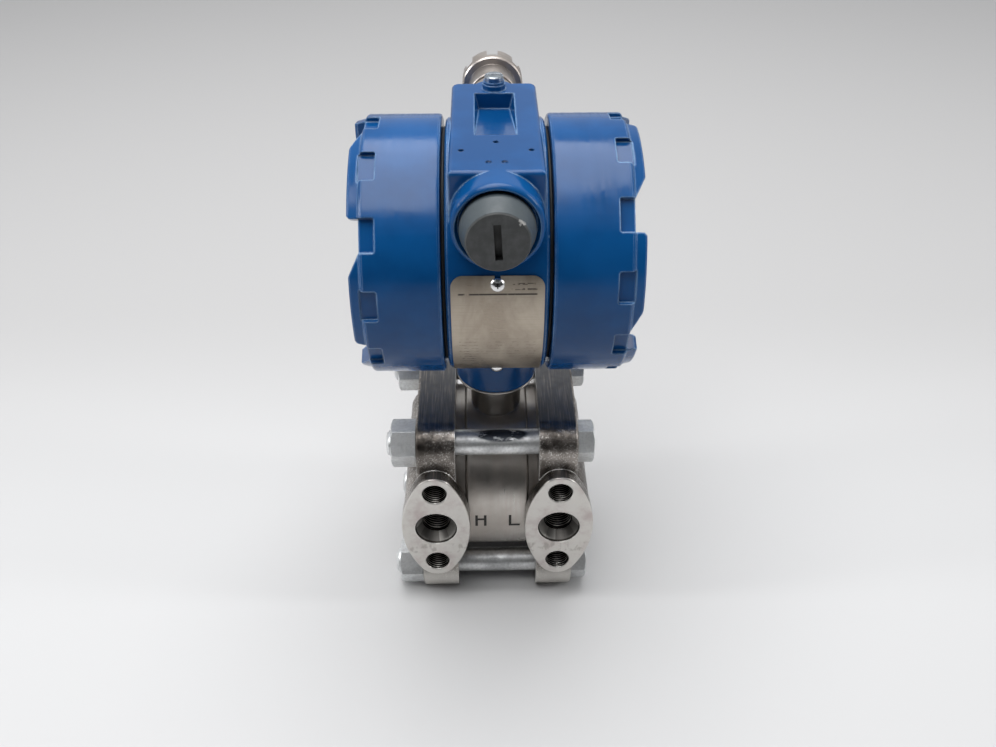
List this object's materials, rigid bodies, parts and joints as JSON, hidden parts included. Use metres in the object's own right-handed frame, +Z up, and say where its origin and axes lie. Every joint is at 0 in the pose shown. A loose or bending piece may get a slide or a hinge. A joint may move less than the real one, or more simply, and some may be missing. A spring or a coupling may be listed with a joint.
{
  "type": "differential pressure transmitter",
  "caption": "Industrial differential pressure transmitter: round housing with screwed covers on a sensor module clamped between process flanges.",
  "frame": {"origin": "on the plane of the flange feet, under the middle of the whole width and depth", "axes": "+Z up along the sensor stem, +X towards the low pressure side, -Y towards the process ports and the front"},
  "size_m": [0.1072, 0.1484, 0.2241],
  "materials": {
    "blue_paint": "satin blue enamel on cast aluminium",
    "stainless": "satin machined stainless steel",
    "zinc_steel": "bright zinc plate",
    "seal_rubber": "black nitrile",
    "plug_grey": "grey phosphate on steel",
    "nickel_brass": "satin nickel plate on brass",
    "plate_steel": "worn brushed sheet",
    "brass_contact": "plain brass",
    "black_moulding": "black phenolic moulding",
    "board_green": "varnished circuit board",
    "board_parts": "moulded electronic parts"
  },
  "bodies": {
    "base": {"high_flange": "stainless", "low_flange": "stainless", "high_vent_seat": "stainless", "low_vent_seat": "stainless", "high_end_ring": "stainless", "low_end_ring": "stainless", "high_isolating_diaphragm": "stainless", "low_isolating_diaphragm": "stainless", "high_process_gasket": "seal_rubber", "low_process_gasket": "seal_rubber", "high_cell_half": "stainless", "low_cell_half": "stainless", "sensing_diaphragm": "stainless", "flange_bolts": "zinc_steel", "flange_nuts": "zinc_steel", "sensor_module": "stainless", "sensor_header": "brass_contact", "lock_ring": "stainless"},
    "housing": {"housing_body": "blue_paint", "gland_body": "nickel_brass", "gland_insert": "seal_rubber", "ground_screw": "zinc_steel", "ground_washer": "blue_paint", "nameplate": "plate_steel", "nameplate_screws": "zinc_steel", "terminal_block": "black_moulding", "terminal_screws": "zinc_steel", "block_screws": "zinc_steel", "calibration_board": "board_green", "amplifier_board": "board_green", "amplifier_parts": "board_parts", "board_posts": "brass_contact", "board_screws": "zinc_steel"},
    "left_cover_seal": {"left_o_ring": "seal_rubber"},
    "left_cover": {"left_cover": "blue_paint"},
    "right_cover_seal": {"right_o_ring": "seal_rubber"},
    "right_cover": {"right_cover": "blue_paint"},
    "plug_seal": {"plug_seal": "seal_rubber"},
    "plug": {"conduit_plug": "plug_grey"},
    "gland_clamp": {"gland_clamp_ring": "nickel_brass"},
    "gland_nut": {"gland_nut": "nickel_brass"},
    "high_vent_stem": {"high_vent_stem": "stainless"},
    "low_vent_stem": {"low_vent_stem": "stainless"},
    "zero_screw": {"zero_screw": "brass_contact"},
    "span_screw": {"span_screw": "brass_contact"}
  },
  "joints": [
    {"name": "housing_swivel", "type": "hinge", "parent": "base", "child": "housing", "pos_m": [0, -0.01575, 0.1046], "axis": [0, 0, 1], "range_deg": [-90, 90]},
    {"name": "left_cover_travel", "type": "slide", "parent": "housing", "child": "left_cover_seal", "axis": [-1, 0, 0], "range_m": [0, 0.024]},
    {"name": "left_cover_turn", "type": "hinge", "parent": "left_cover_seal", "child": "left_cover", "pos_m": [0, -0.01575, 0.168], "axis": [-1, 0, 0], "range_deg": [0, 2880]},
    {"name": "right_cover_travel", "type": "slide", "parent": "housing", "child": "right_cover_seal", "axis": [1, 0, 0], "range_m": [0, 0.024]},
    {"name": "right_cover_turn", "type": "hinge", "parent": "right_cover_seal", "child": "right_cover", "pos_m": [0, -0.01575, 0.168], "axis": [1, 0, 0], "range_deg": [0, 2880]},
    {"name": "plug_travel", "type": "slide", "parent": "housing", "child": "plug_seal", "axis": [0, -1, 0], "range_m": [0, 0.01451]},
    {"name": "plug_turn", "type": "hinge", "parent": "plug_seal", "child": "plug", "pos_m": [0, -0.01575, 0.2018], "axis": [0, -1, 0], "range_deg": [0, 2880]},
    {"name": "gland_nut_travel", "type": "slide", "parent": "housing", "child": "gland_clamp", "axis": [0, 1, 0], "range_m": [0, 0.009]},
    {"name": "gland_nut_turn", "type": "hinge", "parent": "gland_clamp", "child": "gland_nut", "pos_m": [0, -0.01575, 0.2018], "axis": [0, 1, 0], "range_deg": [0, 2160]},
    {"name": "high_vent_turn", "type": "hinge", "parent": "base", "child": "high_vent_stem", "pos_m": [-0.027, 0.02485, 0.0502], "axis": [0, 1, 0], "range_deg": [0, 540]},
    {"name": "low_vent_turn", "type": "hinge", "parent": "base", "child": "low_vent_stem", "pos_m": [0.027, 0.02485, 0.0502], "axis": [0, 1, 0], "range_deg": [0, 540]},
    {"name": "zero_adjust", "type": "hinge", "parent": "housing", "child": "zero_screw", "pos_m": [-0.007, -0.01575, 0.168], "axis": [0, -0.9397, -0.342], "range_deg": [-1800, 1800]},
    {"name": "span_adjust", "type": "hinge", "parent": "housing", "child": "span_screw", "pos_m": [0.007, -0.01575, 0.168], "axis": [0, -0.9397, -0.342], "range_deg": [-1800, 1800]}
  ],
  "couplings": [
    {"joint": "left_cover_turn", "follows": "left_cover_travel", "rad_per_m": 2094.4},
    {"joint": "right_cover_turn", "follows": "right_cover_travel", "rad_per_m": 2094.4},
    {"joint": "plug_turn", "follows": "plug_travel", "rad_per_m": 3463.1},
    {"joint": "gland_nut_turn", "follows": "gland_nut_travel", "rad_per_m": 4188.7}
  ]
}
